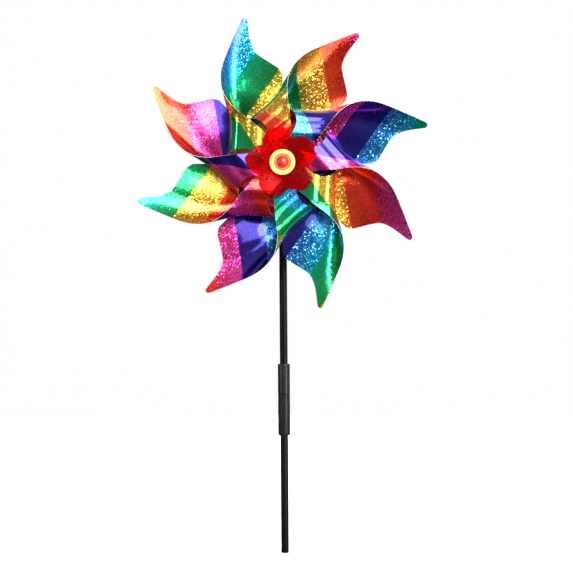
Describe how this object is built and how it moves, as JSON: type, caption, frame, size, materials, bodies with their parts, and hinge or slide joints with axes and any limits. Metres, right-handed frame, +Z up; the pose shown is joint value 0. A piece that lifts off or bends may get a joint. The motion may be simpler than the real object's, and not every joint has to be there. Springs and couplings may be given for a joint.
{
  "type": "whirligig",
  "caption": "Film pinwheel with curled blades on a jointed garden stick; the wheel spins freely on its axle pin.",
  "frame": {"origin": "centre of the flat lower end of the stick", "axes": "+Z up along the stick, -Y the way the wheel faces, +X to the right seen from the front"},
  "size_m": [0.1856, 0.0446, 0.3438],
  "materials": {
    "black_rod": "black drawn plastic, satin gloss",
    "coupling_plastic": "charcoal moulded plastic",
    "head_plastic": "black moulded plastic",
    "hub_plastic": "milky moulded plastic",
    "striped_film_rear": "metallic rainbow-striped glitter film",
    "striped_film_front": "metallic rainbow-striped glitter film",
    "red_film": "red glitter film",
    "yellow_plastic": "pale yellow moulded plastic",
    "orange_plastic": "orange-red moulded plastic"
  },
  "bodies": {
    "stick": {"lower_rod": "black_rod", "upper_rod": "black_rod", "coupling_sleeve": "coupling_plastic", "axle_head": "head_plastic", "bearing_bead": "hub_plastic"},
    "wheel": {"rear_washer": "hub_plastic", "hub_spool": "hub_plastic", "film_sheet_rear": "striped_film_rear", "film_sheet_front": "striped_film_front", "flower": "red_film", "ring_washer": "yellow_plastic", "axle_pin": "orange_plastic", "axle_end_cap": "head_plastic"}
  },
  "joints": [
    {"name": "wheel_spin", "type": "hinge", "parent": "stick", "child": "wheel", "pos_m": [0, 0, 0.251], "axis": [0, -1, 0], "continuous": true}
  ]
}
